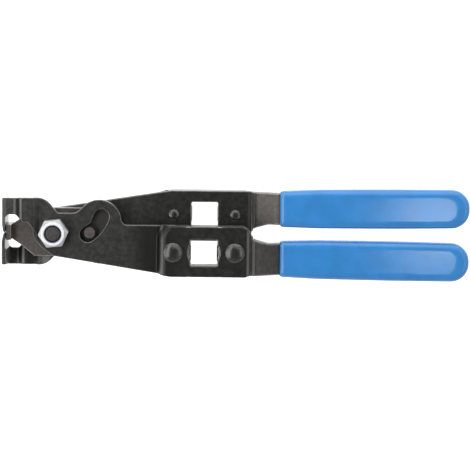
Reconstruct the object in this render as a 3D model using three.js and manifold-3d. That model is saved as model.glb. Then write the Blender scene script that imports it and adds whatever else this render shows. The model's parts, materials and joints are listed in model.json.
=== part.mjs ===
// Ear-clamp pliers for boot bands, with a square drive hole in each arm.
// Millimetres, +Z up. The pieces are drawn from a point on the pivot axis, halfway through the
// tool's depth, and +X runs along the closed handles. The front arm is on the nut's side (+Z): its
// jaw is at +Y and its handle at -Y. The back arm is the same set of pieces turned over about X.

import * as THREE from "three";
import { mergeVertices } from "three/addons/utils/BufferGeometryUtils.js";
import Module from "manifold-3d";

const wasm = await Module();
wasm.setup();

// Driving dimensions

const depth = {
  plunger: 4,
  plate: 2.3,
  bar: 6,
  slideGap: 0.1,
};

const jaw = {
  reach: 25.4,
  halfHeight: 17.3,
  cornerRadius: 1,
  seamGap: 0.3,
  headStep: 2.4,
  headStepX: 9.1,
  lipStep: 1.5,
  lipStepX: 17.6,
  headStepRun: 2.4,
  lipStepRun: 1.1,
  bend: 0.35,
  lipTaper: 1.6,
  lipSetback: 0.3,
  edgeThickness: 1.7,
  edgeTaper: 0.9,
  edgeTaperY: 4.2,
  edgeTaperRadius: 6,
};

const shoulder = {
  outerX: -4.5,
  outerRadius: 9,
  notchX: 1.9,
  notchRadius: 1.5,
};

const arch = {
  topY: 9.1,
  topRadius: 2.4,
  innerX: 18.5,
  heelX: 15.4,
  heelY: 5.2,
  ledgeX: 12.8,
  ledgeY: 5,
  throatX: 9,
  throatY: 0.6,
  throatRadius: 6,
  lobeX: 7.4,
  lobeY: 6.4,
  lobeRadius: 5,
  edgeRadius: 1.6,
};

const arm = {
  waistY: 9.75,
  waistRadius: 6,
  bossY: 11.5,
  bossX: 0.5,
  bossRadius: 3,
  innerY: 4.2,
  outerY: 20.7,
  taperRun: 1.9,
  taperEndRadius: 6,
  rivetMargin: 8.4,
  endInnerRadius: 6,
  endOuterRadius: 4,
  endRound: 1.3,
};

const hump = {
  x: 22.3,
  y: 5.5,
  radius: 11,
  footRadius: 2.9,
};

const innerPlate = {
  bossX: 9.4,
  bossRadius: 7.5,
  lobeY: 5,
  lobeRadius: 6,
  humpSetback: 0.8,
  endOuterRadius: 0.8,
};

const pad = {
  barGap: 4,
  run: 2.4,
  bend: 1,
  kneeY: -0.6,
  kneeRun: 3.4,
  kneeRadius: 8,
};

const drive = {
  x: 74,
  y: 8.6,
  side: 13.1,
  cornerRadius: 0.8,
  seatRadius: 7.8,
  seatDepth: 0.25,
};

const rivet = {
  spacing: 30.4,
  shankRadius: 2.5,
  headRadius: 5.1,
  headHeight: 2,
  tailRadius: 3,
  tailHeight: 1.3,
  fit: 0.05,
};

const cam = {
  pinX: 17.6,
  lead: 21.5,
  opening: 17.3,
  startMargin: 0.85,
  endMargin: 0.5,
  clearance: 0.1,
  cornerGap: 0.32,
  cornerRadius: 0.8,
};

const guide = {
  pinRadius: 2.3,
  headRadius: 2.75,
  headEdge: 0.3,
  bushRadius: 3.65,
  fit: 0.05,
};

const nose = {
  tipY: 3.7,
  flankRun: 4.6,
  flankY: 6.7,
  flankRadius: 8,
  rootX: 10,
  rootY: 12,
  rootRadius: 1.5,
  tailX: 28.5,
  tailRadius: 5,
};

const foot = {
  thickness: 2.5,
  frontGap: 0.3,
  height: 7.5,
  sideGap: 0.25,
  tongueHeight: 4.4,
  edgeRadius: 0.6,
  fit: 0.05,
};

const bolt = {
  radius: 4,
  fit: 0.05,
  headFlats: 13,
  headHeight: 5.3,
  chamfer: 0.8,
};

const nut = {
  flats: 13,
  hexHeight: 6.2,
  height: 8,
  collarRadius: 5.9,
  mouthRadius: 4.45,
  lip: 0.35,
  turn: 6,
};

const nylon = {
  radius: 5.2,
  height: 1.7,
  gap: 0.05,
};

const bar = {
  rivetMargin: 3.2,
  kneeY: -1.6,
  kneeRun: 3.6,
  kneeRadius: 2,
  shoulderInset: 1.8,
  shoulderRadius: 4.6,
  throatY: 1.2,
  throatRadius: 2,
  throatRunX: 3,
  throatRunY: 2.2,
  throatEndRadius: 4,
  neckRun: 8.4,
  neckRadius: 20,
  neckY: 4.4,
  outerY: 20.2,
  crankGap: 1.65,
  crankRun: 11.6,
  bend: 2.5,
  splay: 0.53,
  endX: 201.4,
  endRadius: 7.2,
};

const grip = {
  mouthGap: 13.4,
  wall: 1.75,
  endWall: 3.6,
  edge: 2.6,
  mouthRadius: 2,
  fit: 0.05,
};

// Side wall of the grip at even steps from its mouth to its end, as shares of the full wall
const gripFullnessShares = [0.55, 0.95, 1.02, 1.05, 0.98, 0.9];

const finish = {
  blackSteel: { color: 0x2f2f2e, roughness: 0.5, metalness: 0.6 },
  brownSteel: { color: 0x5f5c59, roughness: 0.5, metalness: 0.7 },
  zinc: { color: 0xd8d9de, roughness: 0.3, metalness: 0.9 },
  nylonBlue: { color: 0x5f6890, roughness: 0.5, metalness: 0 },
  blueVinyl: { color: 0x2f86d6, roughness: 0.35, metalness: 0 },
};

const overrun = 2;
const hexSides = 6;
const weld = 0.002;
const stepAngle = Math.PI / 18;
const right = Math.PI / 2;

// Levels through the depth, worked out from the stack of pieces

const slideZ = depth.plunger / 2;
const innerZ = slideZ + depth.slideGap;
const stackZ = innerZ + depth.plate;
const plateZ = stackZ + depth.plate;
const headZ = plateZ + jaw.headStep;
const lipZ = headZ + jaw.lipStep;
const padInnerZ = stackZ + depth.bar;
const padZ = padInnerZ + depth.plate;
const halfPlate = depth.plate / 2;
const lipBackX = depth.plate - jaw.reach;
const lipEdgeX = jaw.edgeThickness - jaw.reach;
const footFrontX = lipEdgeX + foot.frontGap;
const noseTipX = footFrontX + foot.thickness;
const barStartX = drive.x - rivet.spacing / 2 - bar.rivetMargin;
const padFootX = barStartX - pad.barGap;
const taperEndX = barStartX + arm.taperRun;
const armEndX = drive.x + rivet.spacing / 2 + arm.rivetMargin;
const shoulderX = armEndX - bar.shoulderInset;
const neckX = armEndX + bar.neckRun;
const crankX = armEndX + bar.crankGap;
const gripMouthX = armEndX + grip.mouthGap;

// Outlines and solids

function direction(from, to) {
  return new THREE.Vector2().subVectors(to, from).normalize();
}

function leftOf(v) {
  return new THREE.Vector2(-v.y, v.x);
}

// Points along a chain of corners [x, y, radius], each corner rounded by an arc of its own radius.
// Two arcs that would meet on an edge share it in proportion.
function roundedChain(corners, closed) {
  const count = corners.length;
  const at = (i) => new THREE.Vector2(...corners[(i + count) % count].slice(0, 2));
  const isEnd = (i) => !closed && (i === 0 || i === count - 1);
  const turns = corners.map((_, i) => {
    if (isEnd(i)) return 0;
    const before = direction(at(i - 1), at(i));
    const after = direction(at(i), at(i + 1));
    return Math.atan2(before.cross(after), before.dot(after));
  });
  const reaches = corners.map((c, i) => (c[2] ?? 0) * Math.tan(Math.abs(turns[i]) / 2));
  const scales = corners.map(() => 1);
  for (let i = 0; i < count; i++) {
    const j = (i + 1) % count;
    if (!closed && j === 0) continue;
    const room = at(i).distanceTo(at(j)) / (reaches[i] + reaches[j] || 1);
    scales[i] = Math.min(scales[i], room);
    scales[j] = Math.min(scales[j], room);
  }
  const chain = [];
  for (let i = 0; i < count; i++) {
    const reach = reaches[i] * scales[i];
    if (reach === 0) {
      const side = isEnd(i) && i > 0 ? direction(at(i - 1), at(i)) : direction(at(i), at(i + 1));
      chain.push({ point: at(i), normal: leftOf(side) });
      continue;
    }
    const before = direction(at(i - 1), at(i));
    const radius = reach / Math.tan(Math.abs(turns[i]) / 2);
    const hand = Math.sign(turns[i]);
    const start = at(i).addScaledVector(before, -reach);
    const centre = start.clone().addScaledVector(leftOf(before), radius * hand);
    const steps = Math.max(2, Math.ceil(Math.abs(turns[i]) / stepAngle));
    for (let k = 0; k <= steps; k++) {
      const normal = leftOf(before).rotateAround(new THREE.Vector2(), (turns[i] * k) / steps);
      chain.push({ point: centre.clone().addScaledVector(normal, -radius * hand), normal });
    }
  }
  return chain;
}

// A closed outline, without the second of two points in one place where an arc runs into the next
function outline(corners) {
  const points = roundedChain(corners, true).map((step) => step.point);
  return points.filter((p, i) => p.distanceTo(points[(i + 1) % points.length]) > weld);
}

function circle(x, y, radius) {
  const steps = Math.round((2 * Math.PI) / stepAngle);
  return Array.from({ length: steps }, (_, i) => {
    const angle = (2 * Math.PI * i) / steps;
    return new THREE.Vector2(x + radius * Math.cos(angle), y + radius * Math.sin(angle));
  });
}

function rectangle(x0, y0, x1, y1, radius = 0) {
  return outline([
    [x0, y0, radius],
    [x1, y0, radius],
    [x1, y1, radius],
    [x0, y1, radius],
  ]);
}

function hexagon(flats, turn) {
  const corner = flats / 2 / Math.cos(Math.PI / 6);
  return Array.from({ length: hexSides }, (_, i) => {
    const angle = ((2 * Math.PI) / hexSides) * i + turn;
    return new THREE.Vector2(corner * Math.cos(angle), corner * Math.sin(angle));
  });
}

// Both faces of a sheet whose middle follows a chain of corners, bent at one inner radius
function sheetFaces(corners, thickness, bend) {
  const radius = bend + thickness / 2;
  const chain = roundedChain(corners.map(([x, z]) => [x, z, radius]), false);
  const face = (offset) => chain.map((step) => step.point.clone().addScaledVector(step.normal, offset));
  return { left: face(thickness / 2), right: face(-thickness / 2) };
}

function toSolid(geometry) {
  const bare = geometry.clone();
  bare.deleteAttribute("normal");
  bare.deleteAttribute("uv");
  const merged = mergeVertices(bare);
  return new wasm.Manifold(
    new wasm.Mesh({
      numProp: 3,
      vertProperties: merged.getAttribute("position").array,
      triVerts: new Uint32Array(merged.index.array),
    }),
  );
}

function toGeometry(body) {
  const { vertProperties, triVerts } = body.getMesh();
  const geometry = new THREE.BufferGeometry();
  geometry.setAttribute("position", new THREE.BufferAttribute(vertProperties, 3));
  geometry.setIndex(new THREE.BufferAttribute(triVerts, 1));
  geometry.computeVertexNormals();
  return geometry;
}

function anticlockwise(points) {
  return THREE.ShapeUtils.isClockWise(points) ? [...points].reverse() : points;
}

// A plan outline raised from one level to another
function prism(points, z0, z1, holes = []) {
  const shape = new THREE.Shape(anticlockwise(points));
  shape.holes = holes.map((hole) => new THREE.Path(hole));
  const geometry = new THREE.ExtrudeGeometry(shape, { depth: z1 - z0, bevelEnabled: false });
  return toSolid(geometry.translate(0, 0, z0));
}

// A side profile, drawn in X and Z, run across the tool from y0 to y1
function sideways(points, y0, y1) {
  const geometry = new THREE.ExtrudeGeometry(new THREE.Shape(points), {
    depth: y1 - y0,
    bevelEnabled: false,
  });
  return toSolid(geometry.rotateX(right).translate(0, y1, 0));
}

// A profile, drawn in Y and Z, run lengthwise from x0 to x1
function lengthwise(points, x0, x1) {
  const geometry = new THREE.ExtrudeGeometry(new THREE.Shape(points), {
    depth: x1 - x0,
    bevelEnabled: false,
  });
  return toSolid(geometry.rotateZ(right).rotateY(right).translate(x0, 0, 0));
}

// Radius and height pairs turned about the Z axis through (x, y)
function turned(profile, x, y) {
  const points = profile.map(([radius, z]) => new THREE.Vector2(radius, z));
  const steps = Math.round((2 * Math.PI) / stepAngle);
  return new THREE.LatheGeometry(points, steps).rotateX(right).translate(x, y, 0);
}

// A stack of plan outlines with as many points each, closed at both ends
function loft(rings) {
  const count = rings[0].points.length;
  const positions = rings.flatMap(({ points, z }) => points.flatMap((p) => [p.x, p.y, z]));
  const index = [];
  for (let level = 0; level < rings.length - 1; level++) {
    for (let i = 0; i < count; i++) {
      const j = (i + 1) % count;
      const [a, b] = [level * count + i, level * count + j];
      index.push(a, b, b + count, a, b + count, a + count);
    }
  }
  const top = (rings.length - 1) * count;
  for (const [a, b, c] of THREE.ShapeUtils.triangulateShape(rings[0].points, [])) {
    index.push(a, c, b, top + a, top + b, top + c);
  }
  const geometry = new THREE.BufferGeometry();
  geometry.setAttribute("position", new THREE.Float32BufferAttribute(positions, 3));
  geometry.setIndex(index);
  return toSolid(geometry);
}

// Features that the plates of an arm share

// Where the line that touches the hump on one side, square to an angle, crosses a level
function humpLineX(radius, angle, y) {
  return hump.x + (radius - (y - hump.y) * Math.sin(angle)) / Math.cos(angle);
}

// Edge of the arm from the waist over the hump, round its handle end to the boss below the pivot.
// The hump's arc runs straight into the fillet at its foot.
function armEdge(radius, endOuterRadius) {
  const rear = Math.asin((arm.innerY + hump.footRadius - hump.y) / (radius + hump.footRadius));
  const fore = (3 * Math.PI) / 4;
  const reach = radius / Math.cos((fore - rear) / 2);
  const middle = (fore + rear) / 2;
  const peak = [hump.x + reach * Math.cos(middle), hump.y + reach * Math.sin(middle), radius];
  return [
    [humpLineX(radius, fore, arm.waistY), arm.waistY, arm.waistRadius],
    peak,
    [humpLineX(radius, rear, arm.innerY), arm.innerY, hump.footRadius],
    [armEndX, arm.innerY, arm.endInnerRadius],
    [armEndX, -arm.outerY, endOuterRadius],
    [taperEndX, -arm.outerY, arm.taperEndRadius],
  ];
}

// The cam slot follows a spiral about the pivot, so the plunger moves by the same amount for each
// degree that the arm turns. It runs past both ends of the pin's path.
function camPath(angle) {
  const radius = cam.pinX + cam.lead * angle;
  const out = new THREE.Vector2(Math.cos(angle), Math.sin(angle));
  const along = out.clone().multiplyScalar(cam.lead).addScaledVector(leftOf(out), radius).normalize();
  return { point: out.multiplyScalar(radius), normal: leftOf(along) };
}

function camSlot() {
  const halfWidth = guide.bushRadius + cam.clearance;
  const opening = THREE.MathUtils.degToRad(cam.opening);
  const startAngle = -cam.startMargin / cam.pinX;
  const sweep = opening + cam.endMargin / cam.pinX - startAngle;
  const steps = Math.ceil(sweep / stepAngle) * 5;
  const line = Array.from({ length: steps + 1 }, (_, i) => camPath(startAngle + (sweep * i) / steps));
  const side = (sign) =>
    line.map(({ point, normal }) => point.clone().addScaledVector(normal, sign * halfWidth));
  const capSteps = Math.round(Math.PI / stepAngle);
  const cap = ({ point, normal }, sign) =>
    Array.from({ length: capSteps - 1 }, (_, k) => {
      const swung = normal.clone().rotateAround(new THREE.Vector2(), (-Math.PI * (k + 1)) / capSteps);
      return point.clone().addScaledVector(swung, sign * halfWidth);
    });
  return [
    ...side(1),
    ...cap(line[line.length - 1], 1),
    ...side(-1).reverse(),
    ...cap(line[0], -1),
  ];
}

// The jaw plate's slot is narrower on its inner side, where only the pin's head passes
function slotCorner() {
  const opening = THREE.MathUtils.degToRad(cam.opening);
  const beside = (angle, offset) => {
    const { point, normal } = camPath(angle);
    return point.addScaledVector(normal, offset);
  };
  const tip = beside(opening / 2, guide.headRadius + cam.cornerGap);
  const [start, end] = [0, opening].map((angle) => {
    const edge = beside(angle, guide.bushRadius + cam.clearance);
    return edge.addScaledVector(direction(tip, edge), overrun);
  });
  return outline([start.toArray(), [tip.x, tip.y, cam.cornerRadius], end.toArray()]);
}

function driveSquare() {
  const half = drive.side / 2;
  return rectangle(drive.x - half, -drive.y - half, drive.x + half, -drive.y + half, drive.cornerRadius);
}

function rivetPlaces() {
  return [-1, 1].map((side) => drive.x + (side * rivet.spacing) / 2);
}

function rivetHoles() {
  return rivetPlaces().map((x) => circle(x, -drive.y, rivet.shankRadius + rivet.fit));
}

function plateHoles() {
  return [circle(0, 0, bolt.radius + bolt.fit), driveSquare(), ...rivetHoles()];
}

// Jaw plate: the outer stamping of an arm, from the bent-in lip to the raised pad over the bar

function jawPlateOutline() {
  const seam = jaw.seamGap / 2;
  return outline([
    [jaw.edgeTaper - jaw.reach, seam],
    [-jaw.reach, jaw.edgeTaperY, jaw.edgeTaperRadius],
    [-jaw.reach, jaw.halfHeight, jaw.cornerRadius],
    [shoulder.outerX, jaw.halfHeight, shoulder.outerRadius],
    [shoulder.notchX, arm.waistY, shoulder.notchRadius],
    ...armEdge(hump.radius, arm.endOuterRadius),
    [-arm.bossX, -arm.bossY, arm.bossRadius],
    [-arch.lobeX, -arch.lobeY, arch.lobeRadius],
    [-arch.throatX, arch.throatY, arch.throatRadius],
    [-arch.ledgeX, arch.ledgeY, arch.edgeRadius],
    [-arch.heelX, arch.heelY, arch.edgeRadius],
    [-arch.innerX, arch.topY, arch.edgeRadius],
    [lipEdgeX, arch.topY, arch.topRadius],
    [lipEdgeX, seam],
  ]);
}

// The sheet seen from the side: lip, two joggles and the flat of the arm
function jawPlateSheet() {
  const middle = (outer) => outer - halfPlate;
  const { left, right: inner } = sheetFaces(
    [
      [halfPlate - jaw.reach, jaw.lipSetback - lipZ],
      [halfPlate - jaw.reach, middle(lipZ)],
      [-jaw.lipStepX - jaw.lipStepRun / 2, middle(lipZ)],
      [-jaw.lipStepX + jaw.lipStepRun / 2, middle(headZ)],
      [-jaw.headStepX - jaw.headStepRun / 2, middle(headZ)],
      [-jaw.headStepX + jaw.headStepRun / 2, middle(plateZ)],
      [armEndX + overrun, middle(plateZ)],
    ],
    depth.plate,
    jaw.bend,
  );
  return sideways([...left, ...inner.reverse()], -arm.outerY - overrun, jaw.halfHeight + overrun);
}

// Plan of the raised pad when its wall is pushed out by a shift
function padRing(shift) {
  return outline([
    [padFootX + pad.run + shift, -arm.outerY - 2 * overrun],
    [armEndX + 2 * overrun, -arm.outerY - 2 * overrun],
    [armEndX + 2 * overrun, arm.innerY + 2 * overrun],
    [padFootX + pad.run + shift + 2 * pad.kneeRun, 2 * arm.innerY - pad.kneeY],
    [padFootX + pad.run + shift, pad.kneeY, pad.kneeRadius],
  ]);
}

function padFaces() {
  const low = stackZ + halfPlate;
  const high = padInnerZ + halfPlate;
  return sheetFaces(
    [
      [padFootX - depth.bar, low],
      [padFootX, low],
      [padFootX + pad.run, high],
      [padFootX + pad.run + depth.bar, high],
    ],
    depth.plate,
    pad.bend,
  );
}

function padRings(face, bottomZ) {
  const wall = face.slice(1, -1);
  const top = wall[wall.length - 1];
  const rings = wall
    .filter((p) => p.y > bottomZ)
    .map((p) => ({ points: padRing(p.x - padFootX - pad.run), z: p.y }));
  rings[rings.length - 1].z = top.y;
  return [{ points: rings[0].points, z: bottomZ }, ...rings];
}

function jawPlateSolid() {
  const { left, right: inner } = padFaces();
  const outside = loft(padRings(left, plateZ - halfPlate));
  const inside = loft(padRings(inner, stackZ - overrun));
  const blank = prism(jawPlateOutline(), -lipZ - overrun, padZ + overrun, plateHoles());
  const slot = prism(camSlot(), stackZ - overrun, padZ).subtract(prism(slotCorner(), 0, padZ + overrun));
  const seatZ = padZ - drive.seatDepth;
  const seatHalf = drive.side / 2;
  const seatBand = rectangle(0, -drive.y - seatHalf, armEndX, -drive.y + seatHalf);
  const seat = prism(circle(drive.x, -drive.y, drive.seatRadius), seatZ, padZ + overrun).intersect(
    prism(seatBand, seatZ, padZ + overrun),
  );
  const round = arm.endRound;
  const endRound = sideways(
    [
      new THREE.Vector2(armEndX - round, padZ),
      new THREE.Vector2(armEndX - round * (1 - Math.SQRT1_2), padZ - round * (1 - Math.SQRT1_2)),
      new THREE.Vector2(armEndX, padZ - round),
      new THREE.Vector2(armEndX + overrun, padZ - round),
      new THREE.Vector2(armEndX + overrun, padZ + overrun),
      new THREE.Vector2(armEndX - round, padZ + overrun),
    ].reverse(),
    -arm.outerY - overrun,
    arm.innerY + overrun,
  );
  const lipWedge = lengthwise(
    [
      new THREE.Vector2(jaw.halfHeight, headZ),
      new THREE.Vector2(jaw.halfHeight - jaw.lipTaper, -lipZ),
      new THREE.Vector2(jaw.halfHeight - jaw.lipTaper, -lipZ - overrun),
      new THREE.Vector2(jaw.halfHeight + overrun, -lipZ - overrun),
      new THREE.Vector2(jaw.halfHeight + overrun, headZ),
    ],
    -jaw.reach - overrun,
    lipBackX,
  );
  return jawPlateSheet()
    .add(outside)
    .subtract(inside)
    .intersect(blank)
    .subtract(slot)
    .subtract(seat)
    .subtract(endRound)
    .subtract(lipWedge);
}

// Inner plate: a flat backing that carries the same hump, slot and holes, without the jaw

function innerPlateSolid() {
  const edge = outline([
    [-innerPlate.bossX, arm.waistY, innerPlate.bossRadius],
    ...armEdge(hump.radius - innerPlate.humpSetback, innerPlate.endOuterRadius),
    [-arm.bossX, -arm.bossY, arm.bossRadius],
    [-innerPlate.bossX, -innerPlate.lobeY, innerPlate.lobeRadius],
  ]);
  return prism(edge, innerZ, stackZ, [...plateHoles(), camSlot()]);
}

// Handle bar: wide between the plates, then necked and cranked back to the middle of the depth

// How far the handle has splayed outwards at a distance along the tool
function splayDrift(x) {
  return (x - armEndX) * Math.tan(THREE.MathUtils.degToRad(bar.splay));
}

function barOutline() {
  const drift = splayDrift(bar.endX);
  return outline([
    [barStartX, bar.kneeY, bar.kneeRadius],
    [barStartX + bar.kneeRun, arm.innerY, bar.kneeRadius],
    [shoulderX, arm.innerY, bar.shoulderRadius],
    [shoulderX, -bar.throatY, bar.throatRadius],
    [shoulderX + bar.throatRunX, -bar.throatY - bar.throatRunY, bar.throatEndRadius],
    [neckX, -bar.neckY - splayDrift(neckX), bar.neckRadius],
    [bar.endX, -bar.neckY - drift, bar.endRadius],
    [bar.endX, -bar.outerY - drift, bar.endRadius],
    [armEndX, -bar.outerY],
    [armEndX - arm.endOuterRadius, -arm.outerY],
    [barStartX, -arm.outerY, rivet.fit],
  ]);
}

// The bar's side profile, or the same grown by a gap on each side
function barSheet(grow = 0) {
  const start = stackZ + depth.bar / 2;
  const faces = sheetFaces(
    [
      [barStartX - overrun, start],
      [crankX, start],
      [crankX + bar.crankRun, 0],
      [bar.endX + overrun, 0],
    ],
    depth.bar + 2 * grow,
    bar.bend - grow,
  );
  return sideways([...faces.left, ...faces.right.reverse()], -2 * arm.outerY, arm.innerY + overrun);
}

// The bar's foot follows the taper of the plates, so the wide end stays between them
function plateTaper() {
  return outline([
    [0, -arm.bossY],
    [taperEndX, -arm.outerY],
    [2 * bar.endX, -arm.outerY],
    [2 * bar.endX, -2 * arm.outerY],
    [0, -2 * arm.outerY],
  ]);
}

function barSolid() {
  const z1 = padInnerZ + overrun;
  const blank = prism(barOutline(), -depth.bar, z1, [driveSquare(), ...rivetHoles()]);
  const belowTaper = prism(plateTaper(), stackZ - overrun, z1);
  return barSheet().intersect(blank).subtract(belowTaper);
}

// Grip: vinyl dipped over the bar, fuller in the middle, with rounded edges and an open mouth

function gripOutline(inset) {
  const endX = bar.endX + grip.endWall;
  const endRadius = bar.endRadius + grip.wall;
  const last = gripFullnessShares.length - 1;
  const side = (sign) =>
    gripFullnessShares.map((share, i) => {
      const x = gripMouthX + ((endX - gripMouthX) * i) / last;
      const inward = [inset, ...Array(last - 1).fill(0), -inset];
      const radius = [grip.mouthRadius, ...Array(last - 1).fill(endX), endRadius - inset];
      const edgeY = sign > 0 ? -bar.neckY : -bar.outerY;
      return [x + inward[i], edgeY - splayDrift(x) + sign * (grip.wall * share - inset), radius[i]];
    });
  return outline([...side(1), ...side(-1).reverse()]);
}

function gripSolid() {
  const half = depth.bar / 2 + grip.wall;
  const rings = [0, 1, 2, 3].map((k) => {
    const angle = (right * k) / 3;
    return { inset: grip.edge * (1 - Math.sin(angle)), z: half - grip.edge * (1 - Math.cos(angle)) };
  });
  const upper = rings.map(({ inset, z }) => ({ points: gripOutline(inset).reverse(), z }));
  const lower = upper.map(({ points, z }) => ({ points, z: -z }));
  const shell = loft([...lower, ...upper.reverse()]);
  const grow = grip.fit;
  const mouthX = gripMouthX - overrun;
  const core = outline([
    [mouthX, -bar.neckY - splayDrift(mouthX) + grow],
    [bar.endX + grow, -bar.neckY - splayDrift(bar.endX) + grow, bar.endRadius + grow],
    [bar.endX + grow, -bar.outerY - splayDrift(bar.endX) - grow, bar.endRadius + grow],
    [mouthX, -bar.outerY - splayDrift(mouthX) - grow],
  ]);
  return shell.subtract(prism(core.reverse(), -2 * depth.bar, 2 * depth.bar).intersect(barSheet(grow)));
}

// Rivet: a broad dome on the pad, the shank through the stack and a small tail on the inner plate
function rivetGeometry(x) {
  const dome = (radius, height, z, sign) =>
    Array.from({ length: 5 }, (_, i) => {
      const angle = (right * i) / 4;
      return [radius * Math.cos(angle), z + sign * height * Math.sin(angle)];
    });
  const tail = dome(rivet.tailRadius, rivet.tailHeight, innerZ, -1).reverse();
  const head = dome(rivet.headRadius, rivet.headHeight, padZ, 1);
  tail[0][0] = 0;
  head[head.length - 1][0] = 0;
  return turned([...tail, [rivet.shankRadius, innerZ], [rivet.shankRadius, padZ], ...head], x, -drive.y);
}

// Plunger: the middle plate, slotted for the bolt, with a tapered nose that carries the foot

function travel() {
  return cam.lead * THREE.MathUtils.degToRad(cam.opening);
}

function boltSlot() {
  const radius = bolt.radius + cam.clearance;
  return rectangle(-travel() - radius, -radius, radius, radius, radius);
}

function plungerSolid() {
  const half = [
    [footFrontX, foot.tongueHeight / 2],
    [noseTipX, foot.tongueHeight / 2],
    [noseTipX, nose.tipY],
    [noseTipX + nose.flankRun, nose.flankY, nose.flankRadius],
    [-nose.rootX, nose.rootY, nose.rootRadius],
    [nose.tailX, nose.rootY, nose.tailRadius],
  ];
  const otherHalf = half.map(([x, y, radius]) => [x, -y, radius]).reverse();
  const holes = [boltSlot(), circle(cam.pinX, 0, guide.pinRadius + guide.fit)];
  return prism(outline([...half, ...otherHalf]), -slideZ, slideZ, holes);
}

// Presser foot: the cross head that spans the depth between the lips, staked on the nose
function footSolid() {
  const halfSpan = lipZ - depth.plate - foot.sideGap;
  const halfHeight = foot.height / 2;
  const halfTongue = foot.tongueHeight / 2 + foot.fit;
  const plate = lengthwise(
    rectangle(-halfHeight, -halfSpan, halfHeight, halfSpan, foot.edgeRadius),
    footFrontX,
    noseTipX,
  );
  const slot = lengthwise(
    rectangle(-halfTongue, -slideZ - foot.fit, halfTongue, slideZ + foot.fit),
    footFrontX - overrun,
    noseTipX + overrun,
  );
  return plate.subtract(slot);
}

// Guide pin with a bush on each side, which the cam slots of the inner plates drive
function pinGeometry() {
  const half = [
    [guide.pinRadius, stackZ],
    [guide.headRadius, stackZ],
    [guide.headRadius, plateZ - guide.headEdge],
    [guide.headRadius - guide.headEdge, plateZ],
    [0, plateZ],
  ];
  const otherHalf = half.map(([radius, z]) => [radius, -z]).reverse();
  return turned([...otherHalf, ...half], cam.pinX, 0);
}

function bushGeometry() {
  const inner = guide.pinRadius + guide.fit;
  const z1 = stackZ - guide.fit;
  return turned(
    [
      [inner, slideZ],
      [guide.bushRadius, slideZ],
      [guide.bushRadius, z1],
      [inner, z1],
      [inner, slideZ],
    ],
    cam.pinX,
    0,
  );
}

// Pivot bolt, its self-locking nut and the nut's nylon ring

function boltSolid() {
  const tipZ = plateZ + nut.height - nut.lip;
  const tipRadius = bolt.radius - bolt.chamfer;
  const shank = toSolid(
    turned(
      [
        [0, -plateZ - bolt.chamfer],
        [bolt.radius, -plateZ - bolt.chamfer],
        [bolt.radius, tipZ - bolt.chamfer],
        [tipRadius, tipZ],
        [0, tipZ],
      ],
      0,
      0,
    ),
  );
  const head = prism(hexagon(bolt.headFlats, 0), -plateZ - bolt.headHeight, -plateZ);
  const flat = bolt.headFlats / 2;
  const corner = flat / Math.cos(Math.PI / 6);
  const relief = (corner - flat) * Math.tan(Math.PI / 6);
  const dressed = toSolid(
    turned(
      [
        [0, -plateZ - bolt.headHeight],
        [flat, -plateZ - bolt.headHeight],
        [corner + relief, -plateZ - bolt.headHeight + 2 * relief],
        [corner + relief, -plateZ + overrun],
        [0, -plateZ + overrun],
      ],
      0,
      0,
    ),
  );
  return head.intersect(dressed).add(shank);
}

function nutSolid() {
  const hex = prism(hexagon(nut.flats, THREE.MathUtils.degToRad(nut.turn)), plateZ, plateZ + nut.height);
  const corner = nut.flats / 2 / Math.cos(Math.PI / 6);
  const slope = (corner - nut.collarRadius) * Math.tan(Math.PI / 6);
  const bore = bolt.radius + bolt.fit;
  const pocketZ = plateZ + nut.height - nut.lip - nylon.height - 2 * nylon.gap;
  const dressed = toSolid(
    turned(
      [
        [bore, plateZ],
        [corner + nut.lip, plateZ],
        [corner + nut.lip, plateZ + nut.hexHeight - slope],
        [nut.collarRadius, plateZ + nut.hexHeight],
        [nut.collarRadius, plateZ + nut.height - nut.lip],
        [nut.collarRadius - nut.lip, plateZ + nut.height],
        [nut.mouthRadius, plateZ + nut.height],
        [nut.mouthRadius, plateZ + nut.height - nut.lip],
        [nylon.radius + nylon.gap, plateZ + nut.height - nut.lip],
        [nylon.radius + nylon.gap, pocketZ],
        [bore, pocketZ],
        [bore, plateZ],
      ],
      0,
      0,
    ),
  );
  return hex.intersect(dressed);
}

function nylonGeometry() {
  const inner = bolt.radius + bolt.fit;
  const z1 = plateZ + nut.height - nut.lip - nylon.gap;
  const z0 = z1 - nylon.height;
  return turned(
    [
      [inner, z0],
      [nylon.radius, z0],
      [nylon.radius, z1],
      [inner, z1],
      [inner, z0],
    ],
    0,
    0,
  );
}

// Assembly

function piece(name, geometry, look) {
  const mesh = new THREE.Mesh(geometry, new THREE.MeshStandardMaterial(look));
  mesh.name = name;
  return mesh;
}

function armPieces(side) {
  const [foreX, rearX] = rivetPlaces();
  return [
    piece(`${side}_jaw_plate`, toGeometry(jawPlateSolid()), finish.blackSteel),
    piece(`${side}_inner_plate`, toGeometry(innerPlateSolid()), finish.blackSteel),
    piece(`${side}_handle_bar`, toGeometry(barSolid()), finish.brownSteel),
    piece(`${side}_grip`, toGeometry(gripSolid()), finish.blueVinyl),
    piece(`${side}_fore_rivet`, rivetGeometry(foreX), finish.blackSteel),
    piece(`${side}_rear_rivet`, rivetGeometry(rearX), finish.blackSteel),
  ];
}

const frontArm = new THREE.Group();
frontArm.add(...armPieces("front"));

const backArm = new THREE.Group();
backArm.add(...armPieces("back"));
backArm.rotation.x = Math.PI;

const slide = new THREE.Group();
slide.add(
  piece("plunger", toGeometry(plungerSolid()), finish.brownSteel),
  piece("presser_foot", toGeometry(footSolid()), finish.brownSteel),
  piece("guide_pin", pinGeometry(), finish.brownSteel),
  piece("front_guide_bush", bushGeometry(), finish.brownSteel),
);
const backBush = piece("back_guide_bush", bushGeometry(), finish.brownSteel);
backBush.rotation.x = Math.PI;
slide.add(backBush);

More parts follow.
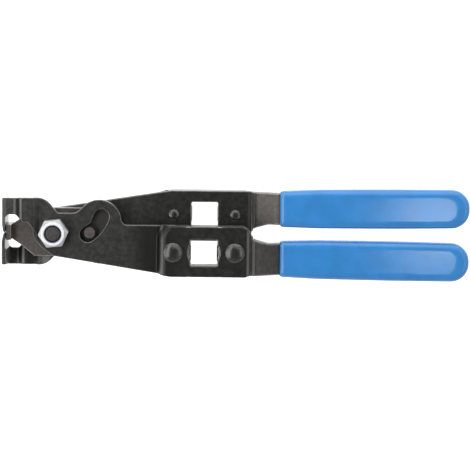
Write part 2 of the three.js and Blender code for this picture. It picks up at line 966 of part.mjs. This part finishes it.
const pivot = new THREE.Group();
pivot.add(
  piece("pivot_bolt", toGeometry(boltSolid()), finish.brownSteel),
  piece("lock_nut", toGeometry(nutSolid()), finish.zinc),
  piece("nylon_insert", nylonGeometry(), finish.nylonBlue),
);

// The whole tool is set down on its rivet heads, with the origin under its middle
const pliers = new THREE.Group();
pliers.add(frontArm, backArm, slide, pivot);
pliers.position.set((jaw.reach - bar.endX - grip.endWall) / 2, 0, padZ + rivet.headHeight);

export default pliers;
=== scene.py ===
# Ear-clamp pliers, laid flat and lit as for a catalogue picture
# x runs from the jaws to the handles and z up from the paper, with the square holes at about x = -16 mm
import json
import math
import bpy
from mathutils import Matrix, Vector

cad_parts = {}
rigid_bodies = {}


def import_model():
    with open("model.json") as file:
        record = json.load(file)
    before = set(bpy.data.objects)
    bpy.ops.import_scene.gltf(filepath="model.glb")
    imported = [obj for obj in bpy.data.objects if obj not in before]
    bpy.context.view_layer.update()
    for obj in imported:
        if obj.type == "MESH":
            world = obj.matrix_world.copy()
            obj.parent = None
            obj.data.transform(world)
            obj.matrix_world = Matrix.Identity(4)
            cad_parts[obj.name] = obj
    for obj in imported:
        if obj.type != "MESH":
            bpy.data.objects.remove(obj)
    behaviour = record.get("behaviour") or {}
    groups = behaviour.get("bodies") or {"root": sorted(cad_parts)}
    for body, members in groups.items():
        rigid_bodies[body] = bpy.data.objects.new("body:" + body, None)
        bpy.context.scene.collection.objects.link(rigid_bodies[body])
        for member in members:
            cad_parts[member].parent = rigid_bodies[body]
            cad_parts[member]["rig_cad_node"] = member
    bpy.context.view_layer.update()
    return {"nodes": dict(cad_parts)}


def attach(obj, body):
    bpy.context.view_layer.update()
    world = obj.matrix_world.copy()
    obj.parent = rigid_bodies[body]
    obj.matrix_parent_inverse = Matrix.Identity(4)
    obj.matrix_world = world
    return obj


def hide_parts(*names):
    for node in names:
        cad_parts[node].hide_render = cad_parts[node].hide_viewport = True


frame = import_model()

mm = 0.001
scene = bpy.context.scene
print("frame loaded:", len(frame["nodes"]), "solids")


def toLinear(hexColour):
    # undoes the sRGB curve
    channels = [int(hexColour[i:i + 2], 16) / 255 for i in (1, 3, 5)]
    return tuple(c / 12.92 if c <= 0.04045 else ((c + 0.055) / 1.055) ** 2.4 for c in channels) + (1.0,)


def addNode(tree, kind, settings=None, links=None):
    # one node, with its socket values and what feeds it
    node = tree.nodes.new(kind)
    for key, value in (settings or {}).items():
        if key in node.inputs:
            node.inputs[key].default_value = value
        else:
            setattr(node, key, value)
    for socket, source in (links or {}).items():
        tree.links.new(source, node.inputs[socket])
    return node


def startMaterial(name):
    # an empty material that is drawn in the piece's own coordinates
    material = bpy.data.materials.new(name)
    material.use_nodes = True
    tree = material.node_tree
    tree.nodes.clear()
    output = addNode(tree, "ShaderNodeOutputMaterial")
    place = addNode(tree, "ShaderNodeTexCoord")
    return material, tree, output, place.outputs["Object"]


def noiseAt(tree, place, sizeMm, detail):
    # noise whose blotches are sizeMm across
    scale = 1 / (sizeMm * mm)
    noise = addNode(tree, "ShaderNodeTexNoise", {"Scale": scale, "Detail": detail}, {"Vector": place})
    return noise.outputs["Fac"]


mottleRange = (0.35, 0.65)  # the noise values where the dark tone ends and the light one begins


def mottledColour(tree, place, settings):
    # two tones broken up by blotches
    blotches = noiseAt(tree, place, settings["blotchMm"], settings["blotchDetail"])
    ramp = addNode(tree, "ShaderNodeValToRGB", None, {"Fac": blotches})
    for index, tone in enumerate(("dark", "light")):
        ramp.color_ramp.elements[index].position = mottleRange[index]
        ramp.color_ramp.elements[index].color = toLinear(settings[tone])
    return ramp.outputs["Color"]


mixSockets = {"below": 6, "above": 7, "result": 2}  # the colour ones of a Mix node


def toneOver(tree, colour, share, tone, blend="MIX"):
    # lays a tone over a colour, fully where the share is 1
    mixed = addNode(tree, "ShaderNodeMix", {"data_type": "RGBA", "blend_type": blend}, {"Factor": share})
    tree.links.new(colour, mixed.inputs[mixSockets["below"]])
    mixed.inputs[mixSockets["above"]].default_value = toLinear(tone)
    return mixed.outputs[mixSockets["result"]]


bandPlateau = 0.3  # the share of a band's half width that has the full tone


def paintedLightStrips(tree, place, colour, bands, blend="MIX"):
    # painted highlights and painted shade: strips across the part, each at (x, half width) in mm, painted
    # lighter where light falls and darker where shade falls
    split = addNode(tree, "ShaderNodeSeparateXYZ", None, {"Vector": place})
    for xMm, halfMm, tone in bands:
        offset = addNode(tree, "ShaderNodeMath", {"operation": "SUBTRACT"}, {0: split.outputs["X"]})
        offset.inputs[1].default_value = xMm * mm
        away = addNode(tree, "ShaderNodeMath", {"operation": "ABSOLUTE"}, {0: offset.outputs["Value"]})
        share = addNode(tree, "ShaderNodeMapRange", {
            "interpolation_type": "SMOOTHSTEP", "From Min": halfMm * mm, "From Max": halfMm * bandPlateau * mm,
        }, {"Value": away.outputs["Value"]})
        colour = toneOver(tree, colour, share.outputs["Result"], tone, blend)
    return colour


def paintedCornerShade(tree, place, colour, settings):
    # painted shade: the chamfered corners of a hexagon, outside a circle about its axis, take a greyer tone
    # for the shade on their slopes
    centre = addNode(tree, "ShaderNodeCombineXYZ", {"X": settings["axisMm"] * mm})
    flat = addNode(tree, "ShaderNodeVectorMath", {"operation": "MULTIPLY"}, {0: place})
    flat.inputs[1].default_value = (1, 1, 0)
    away = addNode(tree, "ShaderNodeVectorMath", {"operation": "DISTANCE"}, {
        0: flat.outputs["Vector"], 1: centre.outputs["Vector"],
    })
    share = addNode(tree, "ShaderNodeMapRange", {
        "From Min": settings["circleMm"] * mm, "From Max": (settings["circleMm"] + settings["fadeMm"]) * mm,
    }, {"Value": away.outputs["Value"]})
    return toneOver(tree, colour, share.outputs["Result"], settings["tone"])


def grainBump(tree, place, settings):
    grain = noiseAt(tree, place, settings["grainMm"], settings["grainDetail"])
    bump = addNode(tree, "ShaderNodeBump", {
        "Strength": 1.0, "Distance": settings["grainDepthMm"] * mm,
    }, {"Height": grain})
    return bump.outputs["Normal"]


patchDetail = 3.0


def roughnessPatches(tree, place, settings):
    # duller and shinier places, patchRatio times as wide as the blotches
    low, high = settings["roughness"]
    patches = noiseAt(tree, place, settings["blotchMm"] * settings["patchRatio"], patchDetail)
    spread = addNode(tree, "ShaderNodeMapRange", {"To Min": low, "To Max": high}, {"Value": patches})
    return spread.outputs["Result"]


blackOxide = {
    "dark": "#3a3a38", "light": "#484846", "blotchMm": 2.2, "blotchDetail": 4.0,
    "grainMm": 0.35, "grainDepthMm": 0.012, "grainDetail": 3.0,
    "roughness": (0.38, 0.52), "patchRatio": 2, "metallic": 0.85,
}


def blackOxideSteel(name, settings):
    # steel blanked from sheet, tumbled and blackened: dark, dry and faintly mottled
    material, tree, output, place = startMaterial(name)
    colour = mottledColour(tree, place, settings)
    # painted shade is multiplied in first, then painted highlights and shade are laid on in strips
    colour = paintedLightStrips(tree, place, colour, settings.get("paintedShades", ()), "MULTIPLY")
    colour = paintedLightStrips(tree, place, colour, settings.get("bands", ()))
    if "corners" in settings:
        colour = paintedCornerShade(tree, place, colour, settings["corners"])
    shader = addNode(tree, "ShaderNodeBsdfPrincipled", {"Metallic": settings["metallic"]}, {
        "Base Color": colour,
        "Roughness": roughnessPatches(tree, place, settings),
        "Normal": grainBump(tree, place, settings),
    })
    tree.links.new(shader.outputs["BSDF"], output.inputs["Surface"])
    return material


# painted shade: towards the handles the plates are darkened
platePaintedShade = ((-30.0, 22.0, "#dcdcdc"), (0.0, 26.0, "#dcdcdc"))
# the inner plate gets a painted highlight along the bend at its far end, over the painted shade
innerSheetPaintedLight = dict(blackOxide, bands=((6.3, 0.9, "#4e4e4c"),), paintedShades=platePaintedShade)
frontPaintedLight = (
    (-108.7, 0.9, "#6c6c69"), (-107.3, 0.9, "#2b2b29"), (-106.0, 0.8, "#82827f"),  # painted highlights and painted shade across the bend of the lip
    (-39.0, 15.0, "#2d2d2b"), (-38.3, 1.1, "#222220"),  # painted shade over the arm and in its crease
    (-36.7, 1.2, "#5a5a58"), (-34.9, 1.0, "#363634"),  # painted highlight and painted shade on the ramp up to the pad
    (5.8, 0.9, "#72726f"),  # painted highlight on the far end of the pad
)
frontPress = dict(blackOxide, bands=frontPaintedLight, paintedShades=platePaintedShade)
backPaintedLight = frontPaintedLight + ((-94.4, 3.4, "#7e7e7b"), (-102.3, 3.6, "#292927"))  # painted highlight and painted shade on the sides of the far head
backPress = dict(blackOxide, bands=backPaintedLight, paintedShades=platePaintedShade)

# the broken edges are lighter, partly as wear and partly as a painted highlight
wornEdgeAndHighlight = dict(blackOxide, dark="#585856", light="#6a6a68", roughness=(0.32, 0.42))
# painted shade darkens the near plate's edge on both sides of its square hole, and a painted highlight
# lightens it on the seat beside it
padEdgePaintedLight = dict(wornEdgeAndHighlight, bands=(
    (-33.0, 8.0, "#3d3d3b"), (-28.5, 5.5, "#3d3d3b"), (-3.0, 5.0, "#3d3d3b"), (2.0, 8.0, "#3d3d3b"),
    (-23.4, 1.4, "#8c8c89"), (-8.2, 1.4, "#8c8c89"),
))
# the upright walls are smoother, and painted lighter as a painted sheen for the light they catch from the side
wallWithPaintedSheen = dict(blackOxide, dark="#7d7d7a", light="#90908d", roughness=(0.28, 0.36))
upset = dict(
    blackOxide, dark="#464644", light="#575755", roughness=(0.2, 0.3),
    blotchMm=1.1, grainMm=1.3, grainDepthMm=0.05,
)

phosphate = dict(blackOxide, dark="#585450", light="#66605e", roughness=(0.4, 0.55), blotchMm=1.4)
# the broken edges are lighter, partly as wear and partly as a painted highlight
wornPhosphateAndHighlight = dict(phosphate, dark="#7c7975", light="#918d8a", roughness=(0.3, 0.42))
# painted shade on the plunger where it lies under the cam slot
plungerPaintedShade = dict(phosphate, bands=((-72.0, 18.0, "#494643"),))
# painted shade keeps the front bar darker, and a painted highlight lies across both bars where they crank
frontBarPaintedLight = dict(phosphate, dark="#444240", light="#4f4d4a", bands=((8.5, 1.0, "#868480"),))
backBarPaintedLight = dict(phosphate, dark="#4c4a47", light="#585553", bands=((8.5, 1.0, "#807e7b"),))
boltPhosphate = dict(phosphate, dark="#4b4846", light="#575553")
# the bushes are much darker than the pin
darkBush = dict(phosphate, dark="#2e2c2a", light="#393735")

zincPlate = dict(
    blackOxide, dark="#ecedf0", light="#fafafb", blotchMm=1.5, grainMm=0.25, grainDepthMm=0.004,
    roughness=(0.26, 0.36), metallic=0.2,
    # the nut's corners are painted greyer, as painted shade on the chamfer
    corners={"axisMm": -89.8, "circleMm": 5.5, "fadeMm": 0.5, "tone": "#b8b9bc"},
)

nylonRing = {
    "colour": "#5e6480", "roughness": 0.42, "ior": 1.53, "milkiness": 0.1, "milkDepthMm": 0.5,
    "grainMm": 0.3, "grainDepthMm": 0.006, "grainDetail": 3.0,
}


def nylon(name, settings):
    # moulded nylon 6, slightly milky
    material, tree, output, place = startMaterial(name)
    shader = addNode(tree, "ShaderNodeBsdfPrincipled", {
        "Base Color": toLinear(settings["colour"]), "IOR": settings["ior"], "Roughness": settings["roughness"],
        "Subsurface Weight": settings["milkiness"], "Subsurface Scale": settings["milkDepthMm"] * mm,
    }, {"Normal": grainBump(tree, place, settings)})
    tree.links.new(shader.outputs["BSDF"], output.inputs["Surface"])
    return material


vinylDip = {
    "dark": "#3784c8", "light": "#3b8bd2", "blotchMm": 9.0, "blotchDetail": 2.0,
    "grainMm": 1.6, "grainDepthMm": 0.02, "grainDetail": 1.0,
    "roughness": (0.15, 0.21), "patchRatio": 1, "ior": 1.53,
}


def dippedVinyl(name, settings):
    # plastisol dipped over the bar and cured: soft gloss, and a grain of faint dimples
    material, tree, output, place = startMaterial(name)
    shader = addNode(tree, "ShaderNodeBsdfPrincipled", {"IOR": settings["ior"]}, {
        "Base Color": mottledColour(tree, place, settings),
        "Roughness": roughnessPatches(tree, place, settings),
        "Normal": grainBump(tree, place, settings),
    })
    tree.links.new(shader.outputs["BSDF"], output.inputs["Surface"])
    return material


oxideSteel = blackOxideSteel("blackOxideSteel", innerSheetPaintedLight)
oxideEdge = blackOxideSteel("blackOxideWornEdgeAndHighlight", wornEdgeAndHighlight)
shearedWall = blackOxideSteel("wallPaintedSheenSteel", wallWithPaintedSheen)
jawSteel = {
    "front": blackOxideSteel("frontJawSteel", frontPress),
    "back": blackOxideSteel("backJawSteel", backPress),
}
jawEdge = {"front": blackOxideSteel("padEdgeWithPaintedLight", padEdgePaintedLight), "back": oxideEdge}
upsetSteel = blackOxideSteel("upsetRivetSteel", upset)
phosphateSteel = blackOxideSteel("phosphatedSteel", phosphate)
plungerSteel = blackOxideSteel("phosphatedPlungerSteel", plungerPaintedShade)
barSteel = {
    "front": blackOxideSteel("frontBarSteelPaintedLight", frontBarPaintedLight),
    "back": blackOxideSteel("backBarSteelPaintedLight", backBarPaintedLight),
}
boltSteel = blackOxideSteel("phosphatedBoltSteel", boltPhosphate)
bushSteel = blackOxideSteel("darkBushSteel", darkBush)
phosphateEdge = blackOxideSteel("phosphatedWornEdgeAndHighlight", wornPhosphateAndHighlight)
zincSteel = blackOxideSteel("zincPlatedSteel", zincPlate)
nylonBlue = nylon("mouldedNylon", nylonRing)
blueVinyl = dippedVinyl("dippedBlueVinyl", vinylDip)
print("finishes made")


def onlySelect(*things):
    bpy.ops.object.select_all(action="DESELECT")
    for thing in things:
        thing.select_set(True)
    bpy.context.view_layer.objects.active = things[-1]


def shifted(piece, picked, offset):
    # moves the picked vertices
    bpy.ops.object.mode_set(mode="EDIT")
    bpy.ops.mesh.select_mode(type="VERT")
    bpy.ops.mesh.select_all(action="DESELECT")
    bpy.ops.object.mode_set(mode="OBJECT")
    for index in picked:
        piece.data.vertices[index].select = True
    bpy.ops.object.mode_set(mode="EDIT")
    bpy.ops.transform.translate(value=offset)
    bpy.ops.object.mode_set(mode="OBJECT")


def pushed(piece, hand, xRange, yRange, offset):
    # moves the corners inside a box, in mm, where hand is -1 for a piece that is turned over
    picked = []
    for vertex in piece.data.vertices:
        x, y = vertex.co.x / mm, hand * vertex.co.y / mm
        if xRange[0] < x < xRange[1] and yRange[0] < y < yRange[1]:
            picked.append(vertex.index)
    shifted(piece, picked, (offset[0] * mm, hand * offset[1] * mm, 0))


cleaning = {"mergeMm": 0.003, "needleDegrees": 150}


def mergedCopy(nodeName, pieceName, joinDegrees, materials):
    # a copy of a solid whose triangles are joined into flat faces
    onlySelect(frame["nodes"][nodeName])
    bpy.ops.object.duplicate()
    piece = bpy.context.active_object
    piece.name = pieceName
    del piece["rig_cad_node"]
    piece.data.materials.clear()
    for material in materials:
        piece.data.materials.append(material)
    bpy.ops.object.mode_set(mode="EDIT")
    bpy.ops.mesh.select_all(action="SELECT")
    bpy.ops.mesh.remove_doubles(threshold=cleaning["mergeMm"] * mm)
    bpy.ops.mesh.dissolve_limited(angle_limit=math.radians(joinDegrees))
    # needle faces folded back on themselves are closed, so that no bevel runs out along them
    bpy.ops.mesh.select_mode(type="EDGE")
    bpy.ops.mesh.select_all(action="DESELECT")
    bpy.ops.mesh.edges_select_sharp(sharpness=math.radians(cleaning["needleDegrees"]))
    bpy.ops.mesh.merge(type="COLLAPSE")
    bpy.ops.mesh.select_mode(type="VERT")
    bpy.ops.object.mode_set(mode="OBJECT")
    return piece


# how far a face's normal leans, and how near to the outside it lies
facing = {"level": 0.999, "upright": 0.2, "forward": -0.8, "outsideMm": 0.1}


def pillowed(piece, settings):
    # a narrow inner face on each flat side, so that the shading swells gently towards the edges
    heights = [polygon.center.z for polygon in piece.data.polygons]
    low, high = min(heights), max(heights)
    for polygon in piece.data.polygons:
        isOutside = min(high - polygon.center.z, polygon.center.z - low) < facing["outsideMm"] * mm
        polygon.select = isOutside and abs(polygon.normal.z) > facing["level"]
    bpy.ops.object.mode_set(mode="EDIT")
    bpy.ops.mesh.select_mode(type="FACE")
    bpy.ops.mesh.inset(thickness=settings["pillowMm"] * mm, use_even_offset=True)
    bpy.ops.object.mode_set(mode="OBJECT")
    inner = [v.index for v in piece.data.vertices if v.select and v.co.x > settings["endFromMm"] * mm]
    shifted(piece, inner, (-settings["endRimMm"] * mm, 0, 0))


def giveWalls(piece, settings, wallIndex):
    # the upright walls take their own material, but for the front face of the lip
    for polygon in piece.data.polygons:
        isWall = abs(polygon.normal.z) < facing["upright"]
        isForward = "lipFaceMm" in settings and polygon.normal.x < facing["forward"]
        isLipFace = isForward and polygon.center.x < settings["lipFaceMm"] * mm
        polygon.material_index = wallIndex if isWall and not isLipFace else 0


def breakEdges(piece, settings, edgeIndex):
    bpy.ops.object.modifier_add(type="BEVEL")
    bevel = piece.modifiers[-1]
    bevel.limit_method = "ANGLE"
    bevel.angle_limit = math.radians(settings["bevelDegrees"])
    bevel.width = settings["edgeMm"] * mm
    bevel.segments = settings["steps"]
    bevel.use_clamp_overlap = False
    bevel.miter_outer = "MITER_ARC"
    bevel.loop_slide = False
    bevel.material = edgeIndex
    bpy.ops.object.modifier_apply(modifier=bevel.name)


def trimLip(piece, settings):
    # whatever the bevel pushed out past the two ends of the lip is cut off
    for side in (1, -1):
        for polygon in piece.data.polygons:
            polygon.select = polygon.center.x < settings["lipBackMm"] * mm
        bpy.ops.object.mode_set(mode="EDIT")
        bpy.ops.mesh.bisect(
            plane_co=(0, side * settings["lipEndMm"] * mm, 0), plane_no=(0, side, 0),
            use_fill=True, clear_outer=True,
        )
        bpy.ops.object.mode_set(mode="OBJECT")


def weighNormals(piece):
    bpy.ops.object.modifier_add(type="WEIGHTED_NORMAL")
    weighted = piece.modifiers[-1]
    weighted.keep_sharp = True
    bpy.ops.object.modifier_apply(modifier=weighted.name)


def softened(nodeName, pieceName, body, settings, materials):
    # a merged copy of a solid with its blanked or machined edges broken
    # its materials are those of the face, of the walls where there are three, and of the broken edge
    piece = mergedCopy(nodeName, pieceName, settings["joinDegrees"], materials)
    for push in settings.get("pushes", ()):
        pushed(piece, settings["hand"], *push)
    if "pillowMm" in settings:
        pillowed(piece, settings)
    giveWalls(piece, settings, 1 if len(materials) > 2 else 0)
    breakEdges(piece, settings, len(materials) - 1)
    if "lipEndMm" in settings:
        trimLip(piece, settings)
    bpy.ops.object.shade_smooth_by_angle(angle=math.radians(settings["smoothDegrees"]))
    if "pillowMm" not in settings:
        weighNormals(piece)
    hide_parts(nodeName)
    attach(piece, body)


# the arms are the same stampings, one of them turned over
platePress = {
    "edgeMm": 0.5, "steps": 3, "joinDegrees": 0.5, "bevelDegrees": 62, "smoothDegrees": 32,
    "lipFaceMm": -114, "lipBackMm": -100, "lipEndMm": 17.32,
}
barForging = {"edgeMm": 0.7, "steps": 3, "joinDegrees": 0.5, "bevelDegrees": 35, "smoothDegrees": 32}
gripDip = {
    "edgeMm": 0.5, "steps": 3, "joinDegrees": 0.2, "bevelDegrees": 60, "smoothDegrees": 60,
    "pillowMm": 1.4, "endFromMm": 100, "endRimMm": 3.4,
}
rivetHead = {"edgeMm": 0.3, "steps": 2, "joinDegrees": 0.2, "bevelDegrees": 40, "smoothDegrees": 40}

# the nose of the inner plate lies over the end of the plunger's slot: each corner's y, and its way forward
innerNose = {
    "xRange": (-101, -96), "aroundMm": 0.1,
    "corners": (
        (6.0, 0.3), (4.82, 0.7), (3.55, 1.35), (2.25, 1.8),
        (-1.95, 0.9), (-2.89, 0.6), (-3.8, 0.4), (-4.67, 0.25),
    ),
}
nosePushes = [
    (innerNose["xRange"], (y - innerNose["aroundMm"], y + innerNose["aroundMm"]), (-forward, 0))
    for y, forward in innerNose["corners"]
]

# between the plates and the neck, the bar's inner edge runs up to a point: two limits in x, and the rise
barThroat = {
    "yRange": (-4.4, 0),
    "rises": (
        (6.3, 6.7, 0.35), (6.7, 7.5, 0.6), (7.5, 9.6, 1.2), (9.6, 10.5, 1.03),
        (10.5, 12.0, 0.7), (12.0, 13.0, 0.5), (14.0, 15.5, 0.15),
    ),
}
throatPushes = [((low, high), barThroat["yRange"], (0, rise)) for low, high, rise in barThroat["rises"]]

for side, hand in (("front", 1), ("back", -1)):
    body = side + "_arm"
    innerPress = dict(platePress, hand=hand, pushes=nosePushes)
    barPress = dict(barForging, hand=hand, pushes=throatPushes)
    softened(side + "_jaw_plate", side + "JawPlate", body, platePress,
             [jawSteel[side], shearedWall, jawEdge[side]])
    softened(side + "_inner_plate", side + "InnerPlate", body, innerPress,
             [oxideSteel, shearedWall, oxideEdge])
    softened(side + "_handle_bar", side + "HandleBar", body, barPress,
             [barSteel[side], shearedWall, phosphateEdge])
    softened(side + "_grip", side + "Grip", body, gripDip, [blueVinyl])
    for end in ("fore", "rear"):
        softened(f"{side}_{end}_rivet", f"{side}{end.title()}Rivet", body, rivetHead,
                 [upsetSteel])
print("arms dressed")


presserPlate = {"edgeMm": 0.35, "steps": 3, "joinDegrees": 0.5, "bevelDegrees": 35, "smoothDegrees": 32}
pinTurning = {"edgeMm": 0.15, "steps": 2, "joinDegrees": 0.2, "bevelDegrees": 35, "smoothDegrees": 32}

softened("plunger", "presserPlunger", "presser", presserPlate,
         [plungerSteel, shearedWall, phosphateEdge])
softened("presser_foot", "presserFoot", "presser", presserPlate,
         [phosphateSteel, shearedWall, phosphateEdge])
softened("guide_pin", "guidePin", "presser", pinTurning, [phosphateSteel])
softened("front_guide_bush", "frontGuideBush", "presser", pinTurning, [bushSteel])
softened("back_guide_bush", "backGuideBush", "presser", pinTurning, [bushSteel])
print("presser dressed")


hexForging = {"edgeMm": 0.2, "steps": 3, "joinDegrees": 0.2, "bevelDegrees": 20, "smoothDegrees": 25}
ringMoulding = {"edgeMm": 0.2, "steps": 2, "joinDegrees": 0.2, "bevelDegrees": 40, "smoothDegrees": 32}

softened("pivot_bolt", "pivotBolt", "pivot", hexForging, [boltSteel])
softened("lock_nut", "lockNut", "pivot", hexForging, [zincSteel])
softened("nylon_insert", "nylonInsert", "pivot", ringMoulding, [nylonBlue])
print("pivot dressed")


studio = {
    "floorM": 3.0, "paperGrey": 0.8, "paperGlow": 0.95,
    "overheadGrey": 0.09, "horizonGrey": 0.7, "horizonHeight": 0.1,
    "lampAim": (0, 0, 0.015),
    "lamps": {
        "headLamp": {"place": (0.00, 0.80, 0.36), "sizeM": (1.4, 0.5), "watts": 3.6},
        "gripLamp": {"place": (0.15, 0.62, 0.75), "sizeM": (0.7, 0.5), "watts": 1.3},
        "leftLamp": {"place": (-0.30, 0.05, 0.45), "sizeM": (0.8, 0.16), "watts": 1.3},
        "leftLowLamp": {"place": (-0.85, -0.10, 0.50), "sizeM": (0.9, 0.4), "watts": 2.7},
        "rightLamp": {"place": (0.62, 0.05, 0.72), "sizeM": (1.0, 0.3), "watts": 1.5},
    },
    "gripSpot": {
        "place": (0.191, -0.092, 1.05), "aim": (0.101, 0.004, 0.02),
        "coneDegrees": 5, "radiusM": 0.02, "watts": 0.95,
    },
}


def seenDirectly(tree):
    # one for what the camera sees, also in a mirror or through glass
    rays = addNode(tree, "ShaderNodeLightPath")
    total = rays.outputs["Is Camera Ray"]
    for ray in ("Is Glossy Ray", "Is Transmission Ray"):
        added = addNode(tree, "ShaderNodeMath", {"operation": "ADD", "use_clamp": True})
        tree.links.new(total, added.inputs[0])
        tree.links.new(rays.outputs[ray], added.inputs[1])
        total = added.outputs["Value"]
    return total


def paperFloor():
    # seamless white paper: full white to the camera, with only the soft shadow kept
    bpy.ops.object.select_all(action="DESELECT")
    bpy.ops.mesh.primitive_plane_add(size=studio["floorM"], location=(0, 0, 0))
    floor = bpy.context.active_object
    floor.name = "paperFloor"
    material, tree, output, _ = startMaterial("whitePaper")
    paper = addNode(tree, "ShaderNodeBsdfDiffuse", {"Color": (studio["paperGrey"],) * 3 + (1,)})
    glow = addNode(tree, "ShaderNodeEmission", {"Color": (1, 1, 1, 1), "Strength": studio["paperGlow"]})
    both = addNode(tree, "ShaderNodeAddShader")
    tree.links.new(paper.outputs["BSDF"], both.inputs[0])
    tree.links.new(glow.outputs["Emission"], both.inputs[1])
    pick = addNode(tree, "ShaderNodeMixShader", None, {"Fac": seenDirectly(tree)})
    tree.links.new(paper.outputs["BSDF"], pick.inputs[1])
    tree.links.new(both.outputs["Shader"], pick.inputs[2])
    tree.links.new(pick.outputs["Shader"], output.inputs["Surface"])
    floor.data.materials.append(material)


def studioWorld():
    # the horizon is white to what is seen directly or in a mirror, and dimmer as a light
    world = bpy.data.worlds.new("studioWorld")
    scene.world = world
    world.use_nodes = True
    tree = world.node_tree
    tree.nodes.clear()
    output = addNode(tree, "ShaderNodeOutputWorld")
    horizon = addNode(tree, "ShaderNodeMapRange", {"To Min": studio["horizonGrey"], "To Max": 1.0}, {
        "Value": seenDirectly(tree),
    })
    place = addNode(tree, "ShaderNodeTexCoord")
    split = addNode(tree, "ShaderNodeSeparateXYZ", None, {"Vector": place.outputs["Generated"]})
    fade = addNode(tree, "ShaderNodeMapRange", {
        "From Min": studio["horizonHeight"], "To Max": studio["overheadGrey"],
    }, {"Value": split.outputs["Z"], "To Min": horizon.outputs["Result"]})
    room = addNode(tree, "ShaderNodeBackground", {"Strength": 1.0}, {"Color": fade.outputs["Result"]})
    tree.links.new(room.outputs["Background"], output.inputs["Surface"])


def aimLamp(lamp, target):
    towards = Vector(target) - lamp.location
    lamp.rotation_euler = towards.to_track_quat("-Z", "Y").to_euler()


def softLamp(name, settings):
    bpy.ops.object.light_add(type="AREA", location=settings["place"])
    lamp = bpy.context.active_object
    lamp.name = name
    lamp.data.shape = "RECTANGLE"
    lamp.data.size, lamp.data.size_y = settings["sizeM"]
    lamp.data.energy = settings["watts"]
    aimLamp(lamp, studio["lampAim"])


def gripSpot(settings):
    # a small soft spot whose sheen lies on the grips near their ends
    bpy.ops.object.light_add(type="SPOT", location=settings["place"])
    lamp = bpy.context.active_object
    lamp.name = "gripSpot"
    lamp.data.spot_size = math.radians(settings["coneDegrees"])
    lamp.data.spot_blend = 1.0
    lamp.data.shadow_soft_size = settings["radiusM"]
    lamp.data.energy = settings["watts"]
    aimLamp(lamp, settings["aim"])


paperFloor()
studioWorld()
gripSpot(studio["gripSpot"])
for name, settings in studio["lamps"].items():
    softLamp(name, settings)

# metres and degrees
photoView = {
    "distance": 1.140, "tilt": 5.7, "turn": 0.63, "aim": (-0.00061, -0.00086, 0.0147), "widthAtAim": 0.23265,
    "sensorMm": 36, "clipEndM": 20,
}


def photoCamera(settings):
    # looks straight down but for a slight lean, from where the photograph was taken
    turn = math.radians(settings["turn"])
    tilt = math.radians(settings["tilt"])
    across = Vector((math.cos(turn), math.sin(turn), 0))
    inPlane = Vector((-math.sin(turn), math.cos(turn), 0))
    back = inPlane * math.sin(tilt) + Vector((0, 0, math.cos(tilt)))
    up = back.cross(across)
    bpy.ops.object.camera_add()
    camera = bpy.context.active_object
    camera.name = "photoCamera"
    camera.data.sensor_width = settings["sensorMm"]
    camera.data.lens = settings["sensorMm"] * settings["distance"] / settings["widthAtAim"]
    camera.data.clip_end = settings["clipEndM"]
    turned = Matrix((across, up, back)).transposed().to_4x4()
    camera.matrix_world = Matrix.Translation(Vector(settings["aim"]) + back * settings["distance"]) @ turned
    scene.camera = camera


photoCamera(photoView)
scene.view_settings.view_transform = "Standard"
print("studio set")
